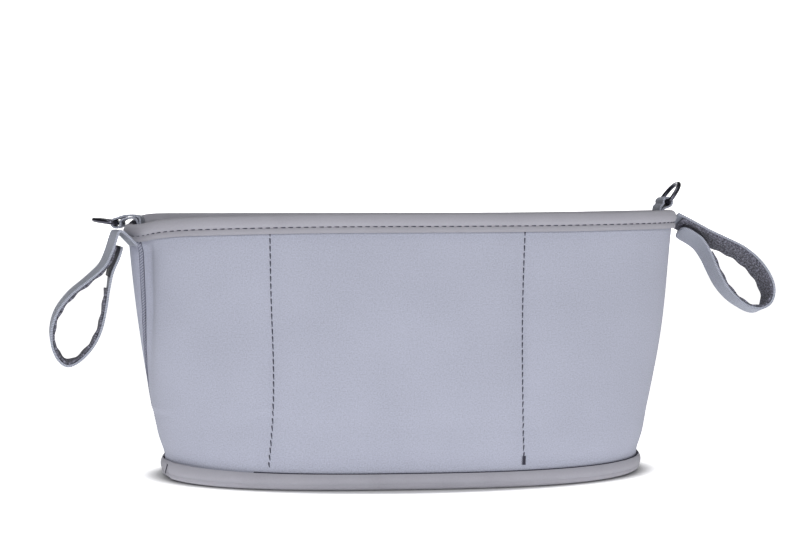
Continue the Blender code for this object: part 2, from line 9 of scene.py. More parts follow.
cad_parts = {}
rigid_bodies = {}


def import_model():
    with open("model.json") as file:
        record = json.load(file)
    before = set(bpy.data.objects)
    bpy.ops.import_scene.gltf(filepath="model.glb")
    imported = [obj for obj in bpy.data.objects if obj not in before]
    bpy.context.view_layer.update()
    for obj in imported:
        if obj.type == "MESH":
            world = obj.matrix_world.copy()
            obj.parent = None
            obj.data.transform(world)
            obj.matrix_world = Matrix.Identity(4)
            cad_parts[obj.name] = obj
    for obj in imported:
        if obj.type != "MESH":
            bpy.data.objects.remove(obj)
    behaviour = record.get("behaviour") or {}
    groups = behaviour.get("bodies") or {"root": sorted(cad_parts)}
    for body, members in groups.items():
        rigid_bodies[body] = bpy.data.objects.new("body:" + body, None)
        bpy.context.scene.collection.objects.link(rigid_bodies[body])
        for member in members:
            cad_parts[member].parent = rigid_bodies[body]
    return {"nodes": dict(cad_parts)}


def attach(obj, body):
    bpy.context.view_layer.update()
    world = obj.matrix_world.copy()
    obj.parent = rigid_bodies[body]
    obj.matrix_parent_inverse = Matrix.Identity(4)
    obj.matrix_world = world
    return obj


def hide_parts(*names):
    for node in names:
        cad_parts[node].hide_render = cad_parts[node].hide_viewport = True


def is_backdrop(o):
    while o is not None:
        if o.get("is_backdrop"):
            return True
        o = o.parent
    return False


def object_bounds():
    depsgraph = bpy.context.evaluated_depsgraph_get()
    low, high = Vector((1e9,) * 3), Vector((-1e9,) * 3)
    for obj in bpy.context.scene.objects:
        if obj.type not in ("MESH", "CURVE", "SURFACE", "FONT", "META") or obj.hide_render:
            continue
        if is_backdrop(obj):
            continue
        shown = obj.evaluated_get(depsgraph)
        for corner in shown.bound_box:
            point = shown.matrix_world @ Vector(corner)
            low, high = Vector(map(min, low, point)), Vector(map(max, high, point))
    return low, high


for thing in list(bpy.data.objects):
    bpy.data.objects.remove(thing)
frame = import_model()
solid_low, solid_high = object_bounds()

# %% [markdown]
# # A neoprene stroller organizer
# The bag is an oval tub of thin neoprene. Two panels meet at the side seams, tape
# binds the rim and the foot, and two walls inside make a pocket at each end. A
# D-ring and a closed webbing loop hang at each end. The loaded solids are plain,
# so each soft piece is laid again here as fine cloth on the same shape.

# %% Clear the selection and say what was loaded
bpy.ops.object.select_all(action="DESELECT")
print("loaded", len(frame["nodes"]), "solids:", ", ".join(sorted(frame["nodes"])))

# %% [markdown]
# ## The camera
# The photograph was taken from the front, about 0.8 m away and at the height of
# the rim, a few degrees round to the left. A long lens keeps the sides straight.
# It comes first.

# %% Camera
VIEW_TURN = math.radians(4.0)
VIEW_DISTANCE = 0.80
VIEW_HEIGHT = 0.1668
VIEW_DIP = math.radians(2.7)
LENS = 56.9


def set_camera():
    left, near = VIEW_DISTANCE * math.sin(VIEW_TURN), VIEW_DISTANCE * math.cos(VIEW_TURN)
    rotation = (math.pi / 2.0 - VIEW_DIP, 0.0, -VIEW_TURN)
    bpy.ops.object.camera_add(location=(-left, -near, VIEW_HEIGHT), rotation=rotation)
    camera = bpy.context.object
    camera.name = "camera"
    camera.data.lens = LENS
    camera.data.sensor_width = 36.0
    camera.data.dof.use_dof = False
    bpy.context.scene.camera = camera
    print("camera", [round(value, 3) for value in camera.location])


set_camera()

# %% [markdown]
# ## The shape of the bag
# Seen from above the bag is an oval with full ends, a superellipse. It is longer at
# the rim than at the foot and bellies a little between them. One function gives
# any point of its outside from an angle round the oval and a height, so that
# panels, tapes and threads all lie on the same surface.

# %% The oval
HEIGHT = 0.163
RIM_HALF = (0.171, 0.050)
FOOT_HALF = (0.147, 0.0565)
BELLY = (0.0033, 0.005)
ROUNDNESS = 2.5
DIVIDER_X = 0.082
RIGHT_FRONT_X = 0.0695
NEOPRENE = 0.003
TURN = 2.0 * math.pi


def signed_power(value, power):
    return np.sign(value) * np.abs(value) ** power


def bump(distance, width):
    return np.exp(-((distance / width) ** 2))


def ramp(value, start, length):
    """0 up to the start, then an even climb to 1 over the length."""
    return np.clip((value - start) / length, 0.0, 1.0)


def plain_oval(angle, z):
    up = z / HEIGHT
    belly = np.sin(math.pi * up)
    half_x = FOOT_HALF[0] + (RIM_HALF[0] - FOOT_HALF[0]) * up + BELLY[0] * belly
    half_y = FOOT_HALF[1] + (RIM_HALF[1] - FOOT_HALF[1]) * up + BELLY[1] * belly
    x = half_x * signed_power(np.cos(angle), 2.0 / ROUNDNESS)
    y = half_y * signed_power(np.sin(angle), 2.0 / ROUNDNESS)
    return np.stack([x, y, z + 0.0 * x], axis=-1)


def oval_normal(angle, z):
    along = plain_oval(angle + 0.02, z) - plain_oval(angle - 0.02, z)
    normal = np.stack([along[..., 1], -along[..., 0], 0.0 * along[..., 0]], axis=-1)
    return normal / np.linalg.norm(normal, axis=-1, keepdims=True)


def half_length(z):
    return float(plain_oval(0.0, z)[0])


def angle_at(x, z, front):
    """The angle at which the front or the back is this far along, at this height."""
    share = x / half_length(z)
    angle = math.acos(math.copysign(abs(share) ** (ROUNDNESS / 2.0), share))
    return TURN - angle if front else angle


def path_length(points):
    return float(np.linalg.norm(np.diff(points, axis=0), axis=1).sum())


def angles_by_length(z, start, end, count, gap=0.0):
    """Angles at an even pitch along the oval, short of the start and the end by a gap."""
    dense = np.linspace(start, end, 3201)
    steps = np.linalg.norm(np.diff(plain_oval(dense, z), axis=0), axis=1)
    lengths = np.concatenate([[0.0], np.cumsum(steps)])
    return np.interp(np.linspace(gap, lengths[-1] - gap, count), lengths, dense), lengths[-1]


def ring_of_angles(z, columns):
    return angles_by_length(z, math.pi, math.pi + TURN, columns)[0]


print("rim", round(angles_by_length(HEIGHT, 0.0, TURN, 2)[1] * 1000), "mm round")

# %% [markdown]
# ## What softens the shape
# The real bag isn't a perfect oval. The rim sags toward the left end and stands a
# little higher at the right, the foot leans out into its tape, the divider stitches
# pull the panels in, and a hollow runs down beside the left seam. Apart from the
# sag, each is a small push along the surface's own direction. Finer creases, which
# the solid leaves out, are added in the same way.

# %% The rim, the seams and the pushes on the surface
FOOT_EDGE = 0.0125
LEFT_SAG = 0.006
END_RISE = 0.002
LEFT_SEAM_TURN = 0.35
RIGHT_SEAM_TURN = 0.06


def past_left_end(angle):
    return np.mod(angle, TURN) - math.pi


def rim_height(angle):
    right = np.maximum(0.0, np.cos(angle)) ** 2
    past = past_left_end(angle)
    sag = LEFT_SAG * bump(past, np.where(past > 0.0, 0.5, 0.24))
    sag = sag + 0.0022 * bump(past - 0.38, 0.25) + 0.0016 * bump(past - 0.8, 0.45)
    return HEIGHT - sag + END_RISE * right


def end_lift(angle):
    """How far the foot's ends curl up from the floor."""
    return END_RISE * np.cos(angle) ** 4


def left_seam(z):
    return math.pi + LEFT_SEAM_TURN * ramp(z, 0.0, HEIGHT) ** 1.05


def right_seam(z):
    return RIGHT_SEAM_TURN * ramp(z, 0.0, HEIGHT)


def main_push(angle, z):
    level = z - end_lift(angle)
    edge = 0.0018 * np.maximum(0.0, 1.0 - level / FOOT_EDGE)
    waist = -0.0014 * bump(level - FOOT_EDGE, 0.008)
    x = plain_oval(angle, z)[..., 0]
    line = np.where((x > 0.0) & (np.sin(angle) < 0.0), RIGHT_FRONT_X, DIVIDER_X)
    inside = np.maximum(0.0, 1.0 - (x / line) ** 2)
    puff = 0.0016 * np.sqrt(inside) * np.sin(math.pi * ramp(z, 0.0, HEIGHT))
    stitched = ramp(z, FOOT_EDGE, FOOT_EDGE) * ramp(HEIGHT - z, 0.0, 0.027)
    pull = -0.0012 * stitched * bump(np.abs(x) - line, 0.006)
    upper = ramp(z, 0.3 * HEIGHT, 0.4 * HEIGHT)
    valley = past_left_end(angle) - 0.20 * ramp(z, 0.0, HEIGHT) ** 1.5 - 0.22
    under_rim = 1.0 - ramp(z, 0.0, HEIGHT) ** 8
    hollow = -0.0022 * upper * under_rim * bump(valley, 0.11)
    return edge + waist + puff + pull + hollow


def pucker(x, z, at_x, at_z, reach, depth):
    """A short crease across a line of stitches, deepest at the stitches."""
    ridge = np.sin((z - at_z) / 0.0022) * bump(z - at_z, 0.0045)
    return depth * ridge * bump(x - at_x, reach)


def fine_push(angle, z):
    x = plain_oval(angle, z)[..., 0]
    front = np.where(np.sin(angle) < 0.0, 1.0, 0.0)
    body = ramp(z, 0.012, 0.02) * ramp(HEIGHT - 0.012 - z, 0.0, 0.02)
    soft = 0.00035 * np.sin(x / 0.021 + 1.3) * np.sin(z / 0.017 + x / 0.06)
    soft = soft + 0.00022 * np.sin(x / 0.011 + z / 0.019 + 0.4)
    creases = front * (pucker(x, z, -DIVIDER_X, 0.046, 0.009, 0.0005)
                       + pucker(x, z, 0.0685, 0.037, 0.008, 0.0006)
                       + pucker(x, z, -0.149, 0.043, 0.007, 0.0006))
    crease = -0.0005 * front * bump(z - 0.038 - 0.02 * x, 0.007) * bump(x + 0.02, 0.16)
    beside_seam = past_left_end(angle) + math.pi - left_seam(z)
    deep = ramp(z, 0.055, 0.05) * ramp(0.1515 - z, 0.0, 0.012)
    pinch = 0.0012 * bump(beside_seam - 0.45, 0.16) - 0.0050 * bump(beside_seam - 0.10, 0.12)
    return body * (soft + creases + crease) + deep * pinch


def bag_point(angle, z, out=0.0):
    push = main_push(angle, z) + fine_push(angle, z)
    return plain_oval(angle, z) + oval_normal(angle, z) * np.expand_dims(push + out, -1)


print("deepest push", round(float(main_push(np.linspace(0, TURN, 200), 0.12).min()) * 1000, 2), "mm")

# %% [markdown]
# ## Cloth and threads
# A sheet of cloth starts as a flat grid whose points are laid on the surface, and
# Solidify gives it its thickness. Its UV map keeps the cloth's own lengths, one
# unit for each 10 cm, so that a knit or a weave follows the cloth round a bend.
# A thread starts as one arched stitch, made once and copied along a line.


# %% Helpers for cloth
def only(piece):
    bpy.ops.object.select_all(action="DESELECT")
    piece.select_set(True)
    bpy.context.view_layer.objects.active = piece


def apply_modifiers(piece):
    only(piece)
    for modifier in list(piece.modifiers):
        bpy.ops.object.modifier_apply(modifier=modifier.name)


def give_material(piece, material):
    piece.data.materials.clear()
    piece.data.materials.append(material)


def measured_uv(points):
    """Lengths along the rows and up the columns of a laid grid, in units of 10 cm."""
    rows, columns = points.shape[:2]
    along = np.zeros((rows, columns))
    along[:, 1:] = np.cumsum(np.linalg.norm(np.diff(points, axis=1), axis=2), axis=1)
    along -= along[:, columns // 2: columns // 2 + 1]
    up = np.zeros((rows, columns))
    up[1:] = np.cumsum(np.linalg.norm(np.diff(points, axis=0), axis=2), axis=0)
    return np.stack([along, up], axis=-1) * 10.0


def lay_cloth(name, points, thickness, material, facing, side=-1.0, closed=False, edge=1.0):
    """Points are a grid of rows and columns. Facing is the way the cloth faces at its
    first corner. Side is -1 where its thickness grows away from that, and edge is its
    share of thickness at the first and last rows."""
    rows, columns = points.shape[:2]
    bpy.ops.mesh.primitive_grid_add(x_subdivisions=columns - 1, y_subdivisions=rows - 1, size=1.0)
    cloth = bpy.context.object
    cloth.name = name
    cloth.data.name = name
    flat = np.empty(len(cloth.data.vertices) * 3)
    cloth.data.vertices.foreach_get("co", flat)
    flat = flat.reshape(-1, 3)
    column = np.rint((flat[:, 0] + 0.5) * (columns - 1)).astype(int)
    row = np.rint((flat[:, 1] + 0.5) * (rows - 1)).astype(int)
    cloth.data.vertices.foreach_set("co", points[row, column].ravel())
    corner = np.empty(len(cloth.data.loops), int)
    cloth.data.loops.foreach_get("vertex_index", corner)
    uv = measured_uv(points)[row[corner], column[corner]]
    cloth.data.uv_layers[0].data.foreach_set("uv", uv.ravel())
    cloth.data.update()
    first = cloth.data.polygons[0].normal
    if first.dot(Vector(facing)) < 0.0:
        cloth.data.flip_normals()
    if edge != 1.0:
        group = cloth.vertex_groups.new(name="fullness")
        for index, at in enumerate(row):
            from_edge = min(at, rows - 1 - at) / (0.06 * rows)
            group.add([index], edge + (1.0 - edge) * min(1.0, from_edge), "REPLACE")
    if closed:
        weld = cloth.modifiers.new("close", "WELD")
        weld.merge_threshold = 0.00001
    wall = cloth.modifiers.new("thickness", "SOLIDIFY")
    wall.thickness = thickness
    wall.offset = side
    wall.use_even_offset = True
    if edge != 1.0:
        wall.vertex_group = "fullness"
    apply_modifiers(cloth)
    cloth.data.shade_smooth()
    bpy.ops.object.shade_smooth_by_angle(angle=math.radians(50.0))
    give_material(cloth, material)
    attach(cloth, "bag")
    return cloth


# %% Helpers for threads
def make_stitch(length, thread, arch):
    """One arched stitch along X, with its ends below z = 0."""
    bpy.ops.curve.primitive_bezier_curve_add()
    stitch = bpy.context.object
    curve = stitch.data
    curve.dimensions = "3D"
    curve.bevel_depth = thread / 2.0
    curve.bevel_resolution = 1
    curve.resolution_u = 5
    half = length / 2.0
    for point, end in zip(curve.splines[0].bezier_points, (-1.0, 1.0)):
        point.co = (end * half, 0.0, -arch)
        point.handle_left = point.handle_right = (end * half - end * 0.1 * half, 0.0, arch)
    bpy.ops.object.convert(target="MESH")
    mesh = bpy.context.object.data.copy()
    bpy.data.objects.remove(bpy.context.object)
    return mesh


def seat(place, along, outward):
    """A matrix that lays a stitch at a place, along a direction and facing outward."""
    along = Vector(along).normalized()
    outward = Vector(outward)
    outward = (outward - along * outward.dot(along)).normalized()
    across = outward.cross(along)
    turned = Matrix((along, across, outward)).transposed().to_4x4()
    turned.translation = Vector(place)
    return turned


def sew(name, stitch, seats, material, body="bag"):
    """Copies of one stitch, joined as one piece."""
    joined = bmesh.new()
    done = 0
    for turned in seats:
        joined.from_mesh(stitch)
        joined.verts.ensure_lookup_table()
        bmesh.ops.transform(joined, matrix=turned, verts=joined.verts[done:])
        done = len(joined.verts)
    mesh = bpy.data.meshes.new(name)
    joined.to_mesh(mesh)
    joined.free()
    mesh.shade_smooth()
    threads = bpy.data.objects.new(name, mesh)
    bpy.context.scene.collection.objects.link(threads)
    give_material(threads, material)
    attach(threads, body)
    print(name, len(seats), "stitches")
    return threads


# %% [markdown]
# ## Finishes
# Every finish is one Principled shader whose colour and bump come from noise and
# waves. Cloth reads the UV map, in units of 10 cm: a wave of scale 100 would
# repeat about three times a millimetre. The colours are set so that under this
# file's lights they look as they do in the photograph.


# %% Helpers for finishes
def new_finish(name, colour, roughness, metallic=0.0, sheen=0.0):
    material = bpy.data.materials.new(name)
    material.use_nodes = True
    shader = material.node_tree.nodes["Principled BSDF"]
    shader.inputs["Base Color"].default_value = (*colour, 1.0)
    shader.inputs["Roughness"].default_value = roughness
    shader.inputs["Metallic"].default_value = metallic
    shader.inputs["Sheen Weight"].default_value = sheen
    shader.inputs["Sheen Roughness"].default_value = 0.6
    shader.inputs["Specular IOR Level"].default_value = 0.3
    return material, material.node_tree, shader


def coordinates(tree, kind, turn=0.0, scale=(1.0, 1.0, 1.0)):
    source = tree.nodes.new("ShaderNodeTexCoord")
    mapping = tree.nodes.new("ShaderNodeMapping")
    mapping.inputs["Rotation"].default_value = (0.0, 0.0, turn)
    mapping.inputs["Scale"].default_value = scale
    tree.links.new(source.outputs[kind], mapping.inputs["Vector"])
    return mapping.outputs["Vector"]


def noise(tree, vector, scale, detail=3.0, roughness=0.55):
    node = tree.nodes.new("ShaderNodeTexNoise")
    node.inputs["Scale"].default_value = scale
    node.inputs["Detail"].default_value = detail
    node.inputs["Roughness"].default_value = roughness
    tree.links.new(vector, node.inputs["Vector"])
    return node.outputs["Fac"]


def waves(tree, vector, scale, direction="X", distortion=0.0):
    node = tree.nodes.new("ShaderNodeTexWave")
    node.bands_direction = direction
    node.inputs["Scale"].default_value = scale
    node.inputs["Distortion"].default_value = distortion
    tree.links.new(vector, node.inputs["Vector"])
    return node.outputs["Fac"]


def combine(tree, operation, first, second):
    node = tree.nodes.new("ShaderNodeMath")
    node.operation = operation
    for socket, value in zip(node.inputs, (first, second)):
        if isinstance(value, (int, float)):
            socket.default_value = value
        else:
            tree.links.new(value, socket)
    return node.outputs["Value"]


def blend(tree, first, first_share, second, second_share):
    return combine(tree, "ADD", combine(tree, "MULTIPLY", first, first_share),
                   combine(tree, "MULTIPLY", second, second_share))


def shades(tree, shader, factor, colour, stops, socket="Base Color"):
    """A ramp from dark to light into a socket. Stops are (place, share of the colour)."""
    node = tree.nodes.new("ShaderNodeValToRGB")
    elements = node.color_ramp.elements
    while len(elements) < len(stops):
        elements.new(0.5)
    for element, (place, share) in zip(elements, stops):
        element.position = place
        element.color = (*[channel * share for channel in colour], 1.0)
    tree.links.new(factor, node.inputs["Fac"])
    tree.links.new(node.outputs["Color"], shader.inputs[socket])


def emboss(tree, shader, height, distance, strength=1.0):
    node = tree.nodes.new("ShaderNodeBump")
    node.inputs["Distance"].default_value = distance
    node.inputs["Strength"].default_value = strength
    tree.links.new(height, node.inputs["Height"])
    tree.links.new(node.outputs["Normal"], shader.inputs["Normal"])


# %% [markdown]
# Neoprene is foam faced with a fine jersey knit. Close up it shows upright wales
# crossed by courses, and from a distance only a soft grain, with a slow change of
# tone where the cloth has been handled.


# %% Neoprene
def neoprene_finish(colour):
    material, tree, shader = new_finish("neoprene_jersey", colour, 0.88, sheen=0.12)
    cloth = coordinates(tree, "UV")
    wales = waves(tree, cloth, 46.0, "X", 0.6)
    courses = waves(tree, cloth, 62.0, "Y", 0.6)
    knit = combine(tree, "MULTIPLY", wales, courses)
    grain = noise(tree, cloth, 120.0, 2.0)
    handled = noise(tree, coordinates(tree, "Object"), 22.0, 2.0)
    tone = blend(tree, grain, 0.82, handled, 0.18)
    shades(tree, shader, tone, colour, ((0.32, 0.84), (0.5, 1.0), (0.68, 1.13)))
    height = combine(tree, "ADD", knit, combine(tree, "MULTIPLY", grain, 1.2))
    emboss(tree, shader, height, 0.00016, 0.7)
    return material


NEOPRENE_COLOUR = (0.405, 0.420, 0.510)
neoprene = neoprene_finish(NEOPRENE_COLOUR)

# %% [markdown]
# The binding is a warmer, greyer tape, knitted in fine ribs that run along it.
# It is smoother than the panels and has no clear grain from a distance.


# %% Binding tape
def tape_finish(colour):
    material, tree, shader = new_finish("binding_knit", colour, 0.8, sheen=0.15)
    tape = coordinates(tree, "UV")
    ribs = waves(tree, tape, 70.0, "Y", 0.3)
    grain = noise(tree, tape, 90.0, 3.0)
    slow = noise(tree, coordinates(tree, "Object"), 35.0, 2.0)
    tone = blend(tree, grain, 0.4, slow, 0.6)
    shades(tree, shader, tone, colour, ((0.3, 0.92), (0.5, 1.0), (0.7, 1.06)))
    emboss(tree, shader, combine(tree, "ADD", ribs, grain), 0.00010, 0.5)
    return material


TAPE_COLOUR = (0.355, 0.350, 0.395)
binding_tape = tape_finish(TAPE_COLOUR)

# %% [markdown]
# Webbing is woven in a twill: its ribs climb across the band at a steep slant.
# Two slanted waves, one multiplied by a fine cross wave, give the ribs and the
# threads in them. Loop tape is a nap of dark loops, and hook tape rows of stubs.


# %% Webbing, loop tape and hook tape
def webbing_finish(colour):
    material, tree, shader = new_finish("webbing_twill", colour, 0.72, sheen=0.1)
    ribs = waves(tree, coordinates(tree, "UV", math.radians(28.0)), 36.0, "X", 0.4)
    threads = waves(tree, coordinates(tree, "UV", math.radians(-60.0)), 90.0, "X", 0.2)
    weave = combine(tree, "ADD", ribs, combine(tree, "MULTIPLY", threads, 0.35))
    grain = noise(tree, coordinates(tree, "UV"), 100.0, 2.0)
    tone = blend(tree, weave, 0.55, grain, 0.3)
    shades(tree, shader, tone, colour, ((0.15, 0.42), (0.55, 1.0), (0.9, 1.35)))
    emboss(tree, shader, weave, 0.00022, 0.8)
    return material


def nap_finish(colour):
    material, tree, shader = new_finish("loop_nap", colour, 0.95, sheen=0.08)
    speckle = noise(tree, coordinates(tree, "UV"), 75.0, 4.0, 0.7)
    shades(tree, shader, speckle, colour, ((0.38, 0.20), (0.5, 1.0), (0.62, 3.0)))
    emboss(tree, shader, speckle, 0.0006, 1.0)
    return material


def hook_finish(colour):
    material, tree, shader = new_finish("hook_rows", colour, 0.5)
    tape = coordinates(tree, "UV")
    stubs = combine(tree, "MULTIPLY", waves(tree, tape, 34.0, "X"), waves(tree, tape, 34.0, "Y"))
    shades(tree, shader, stubs, colour, ((0.1, 0.5), (0.8, 2.2)))
    emboss(tree, shader, stubs, 0.0005, 1.0)
    return material


WEBBING_COLOUR = (0.370, 0.392, 0.470)
webbing = webbing_finish(WEBBING_COLOUR)
loop_nap = nap_finish((0.105, 0.105, 0.135))
hook_rows = hook_finish((0.05, 0.05, 0.07))

# %% [markdown]
# The rings are steel plated a dark, bright grey. Thread is a dull twisted yarn.


# %% Dark plating and thread
def plated_finish():
    material, tree, shader = new_finish("gunmetal_plating", (0.10, 0.10, 0.125), 0.2, metallic=1.0)
    place = coordinates(tree, "Object")
    wear = noise(tree, place, 260.0, 3.0)
    shades(tree, shader, wear, (1.0, 1.0, 1.0), ((0.4, 0.13), (0.7, 0.30)), "Roughness")
    emboss(tree, shader, noise(tree, place, 500.0, 2.0), 0.00004, 0.3)
    return material


def thread_finish(name, colour):
    material, tree, shader = new_finish(name, colour, 0.6)
    twist = waves(tree, coordinates(tree, "Object", math.radians(35.0)), 700.0, "X", 1.0)
    shades(tree, shader, twist, colour, ((0.2, 0.6), (0.8, 1.5)))
    return material


gunmetal = plated_finish()
dark_thread = thread_finish("dark_thread", (0.040, 0.040, 0.060))
grey_thread = thread_finish("grey_thread", (0.17, 0.175, 0.23))
for finish in (neoprene, binding_tape, webbing, loop_nap, hook_rows, gunmetal):
    print("finish", finish.name)

# %% [markdown]
# ## The two panels
# Each panel is one sheet of neoprene that runs half way round the bag, from seam
# to seam and from the foot tape to the rim tape. Its rows are spaced evenly up
# the wall and its columns evenly along it. Near a seam the cloth dips, as it does
# where it is cut and butted against its neighbour.

# %% Panels
SEAM_GAP = 0.0005
PANEL_COLUMNS = 291
PANEL_ROWS = 104


def panel_grid(front):
    points = np.zeros((PANEL_ROWS, PANEL_COLUMNS, 3))
    for row in range(PANEL_ROWS):
        level = HEIGHT * row / (PANEL_ROWS - 1)
        left, right = float(left_seam(level)), float(right_seam(level))
        start, end = (left, TURN + right) if front else (right, left)
        angle, length = angles_by_length(level, start, end, PANEL_COLUMNS, SEAM_GAP / 2.0)
        foot = 0.0028 + end_lift(angle)
        top = rim_height(angle) - 0.00135
        z = foot + (top - foot) * level / HEIGHT
        along = np.linspace(0.0, length, PANEL_COLUMNS)
        from_seam = np.minimum(along, length - along)
        dip = -0.0005 * bump(from_seam, 0.0016)
        points[row] = bag_point(angle, z, dip)
    return points


def make_panel(name, front):
    points = panel_grid(front)
    facing = oval_normal(math.pi + 0.25 if front else 0.1, 0.0)
    panel = lay_cloth(name + "_cloth", points, NEOPRENE, neoprene, facing, edge=0.7)
    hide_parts(name)
    return panel


make_panel("front_panel", True)
make_panel("back_panel", False)

# %% [markdown]
# ## The base
# The bottom is an oval of the same neoprene. It lies flat in the middle, and its
# edge is turned down and sewn into the foot tape inside the panels.

# %% Base panel
BASE_STEP = 0.00245
BASE_EDGE_HEIGHT = 0.0068
BASE_DEPTH_SHARE = 0.75
BASE_EDGE = (
    (6.3, 0.55, 0.3), (5.0, 0.88, 0.45), (4.0, 1.0, 0.6),
    (3.2, 0.97, 0.78), (2.5, 0.80, 0.9), (2.1, 0.46, 1.0),
)


def base_grid(columns):
    """Flat ovals that grow, then the raised edge: steps in, share of its height, of the lift."""
    angle = ring_of_angles(0.0, columns)
    edge = plain_oval(angle, np.zeros(columns))
    rows = []
    for share in (0.02, 0.25, 0.45, 0.62, 0.72, 0.80, 0.862):
        rows.append(edge * np.array([share, share * BASE_DEPTH_SHARE, 0.0]))
    for steps_in, height, lift in BASE_EDGE:
        z = BASE_EDGE_HEIGHT * height + end_lift(angle) * lift
        rows.append(bag_point(angle, z, -steps_in * BASE_STEP))
    return np.array(rows)


def make_base():
    base = lay_cloth("base_panel_cloth", base_grid(241), NEOPRENE, neoprene,
                     (0.0, 0.0, -1.0), closed=True)
    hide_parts("base_panel")


make_base()

# %% [markdown]
# ## The bindings
# A tape is folded over the raw edge of the rim and stitched through, so it has an
# outer leg, a round fold and an inner leg. The section is drawn once, as offsets
# out and up from the edge, and carried round the oval. The stitch line pulls the
# tape in, and the lip below it stands off a little.

# %% Rim binding
TAPE = 0.0009
RIM_LEG = 0.0103
RIM_LEG_AT_LEFT_END = 0.0086
RIM_FOLD = 0.0026
RIM_MIDDLE = -0.0012


def rim_leg(angle):
    return RIM_LEG + (RIM_LEG_AT_LEFT_END - RIM_LEG) * bump(past_left_end(angle), 0.40)


def rim_stitch_depth(angle):
    """How far the stitch line lies below the top of the rim."""
    return 0.65 * rim_leg(angle)


def rim_grid(columns):
    angle = ring_of_angles(HEIGHT, columns)
    top = rim_height(angle) - TAPE
    leg = rim_leg(angle)
    stitch = rim_stitch_depth(angle)
    rows = []
    for step in range(19):
        drop = leg + (RIM_FOLD - leg) * step / 18.0
        stretched = 0.0001 * np.sin(angle * 83.0) * ramp(drop, stitch, 0.002)
        valley = -0.0010 * bump(drop - stitch, 0.0012)
        swell = 0.0004 * bump(drop - 0.0040, 0.0022)
        rows.append(bag_point(angle, top - drop, 0.0014 + valley + swell + stretched))
    for step in range(1, 12):
        turn = math.pi * step / 12.0
        out = RIM_MIDDLE + RIM_FOLD * math.cos(turn)
        rows.append(bag_point(angle, top - RIM_FOLD + RIM_FOLD * math.sin(turn), out))
    for step in range(8):
        drop = RIM_FOLD + (leg - RIM_FOLD) * step / 7.0
        gather = 0.0016 * np.sin(angle * 80.0) * bump(past_left_end(angle) + 0.40, 0.28)
        valley = 0.0003 * bump(drop - stitch, 0.0012) - np.abs(gather * ramp(drop, 0.0, 0.004))
        rows.append(bag_point(angle, top - drop, RIM_MIDDLE - RIM_FOLD + valley))
    return np.array(rows)


def make_rim():
    points = rim_grid(601)
    facing = oval_normal(math.pi + 0.02, HEIGHT)
    rim = lay_cloth("rim_binding_tape", points, TAPE, binding_tape, facing,
                    side=1.0, closed=True)
    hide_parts("rim_binding")


make_rim()

# %% [markdown]
# The foot tape is wrapped the same way, but from outside to underneath. It is one
# strip whose two ends overlap at the front left corner: the start lies on top of
# the end, and its cut edge shows there.

# %% Base binding
FOOT_LAP_START = math.pi + 0.36
FOOT_LAP = 0.22
FOOT_LAP_END = FOOT_LAP_START + TURN + FOOT_LAP
FOOT_LEG = 0.0092
FOOT_FOLD = 0.0016


def foot_leg(angle):
    """How high the tape reaches up the panel: a little higher at the left."""
    return FOOT_LEG + 0.0012 * bump(past_left_end(angle) - 0.45, 0.5)


def foot_grid(columns):
    angle = angles_by_length(0.0, FOOT_LAP_START, FOOT_LAP_END, columns)[0]
    lift = end_lift(angle)
    on_top = 0.0012 * bump(np.maximum(0.0, angle - FOOT_LAP_START), 0.5)
    under = -0.0003 * bump(np.maximum(0.0, FOOT_LAP_END - angle), 0.5)
    shift = on_top + under
    floor = 0.0014 + lift
    inner = -0.00665
    leg = foot_leg(angle)
    rows = []
    for step in range(13):
        z = leg + lift + (floor + FOOT_FOLD - leg - lift) * step / 12.0
        swell = 0.0009 * math.sin(math.pi * min(1.0, step / 10.0)) ** 0.7
        rows.append(bag_point(angle, z, 0.0007 + swell + shift))
    for step in range(1, 6):
        turn = 0.5 * math.pi * step / 6.0
        out = 0.0007 - FOOT_FOLD * (1.0 - math.cos(turn))
        rows.append(bag_point(angle, floor + FOOT_FOLD * (1.0 - math.sin(turn)), out + shift))
    for step in range(6):
        out = -0.0009 + (inner + 0.0025) * step / 5.0
        rows.append(bag_point(angle, floor, out + shift))
    for step in range(1, 4):
        z = floor + (0.0046 - 0.0014) * step / 3.0
        rows.append(bag_point(angle, z, inner))
    return np.array(rows)


def make_foot():
    points = foot_grid(601)
    facing = oval_normal(FOOT_LAP_START, 0.0)
    foot = lay_cloth("base_binding_tape", points, TAPE, binding_tape, facing, side=1.0)
    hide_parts("base_binding")


make_foot()

# %% [markdown]
# ## The dividers
# Two walls of neoprene cross the bag and make the end pockets. Each is stitched
# to both panels, and its top edge has a tape of its own, lower than the rim. The
# right one runs at a slant: its front edge stands nearer the middle than its back.

# %% Dividers
DIVIDER_TOP = 0.139
DIVIDER_FOOT = 0.0035
DIVIDER_CORNER = 0.0105
DIVIDER_FOLD = (
    (-1.0, 0.011), (-0.95, 0.0075), (-1.0, 0.004), (-1.0, 0.0012), (-0.6, 0.0003), (0.0, 0.0),
    (0.6, 0.0003), (1.0, 0.0012), (1.0, 0.004), (0.95, 0.0075), (1.0, 0.011),
)


def wall_reach(x, z):
    """How far the inside of the panels lies from the middle, at this x and height."""
    angle = angle_at(x, z, False)
    point = bag_point(np.array([angle, TURN - angle]), np.array([z, z]))
    slope = abs(oval_normal(angle, z)[1])
    return float(np.abs(point[:, 1]).min() - (NEOPRENE + 0.0004) / slope)


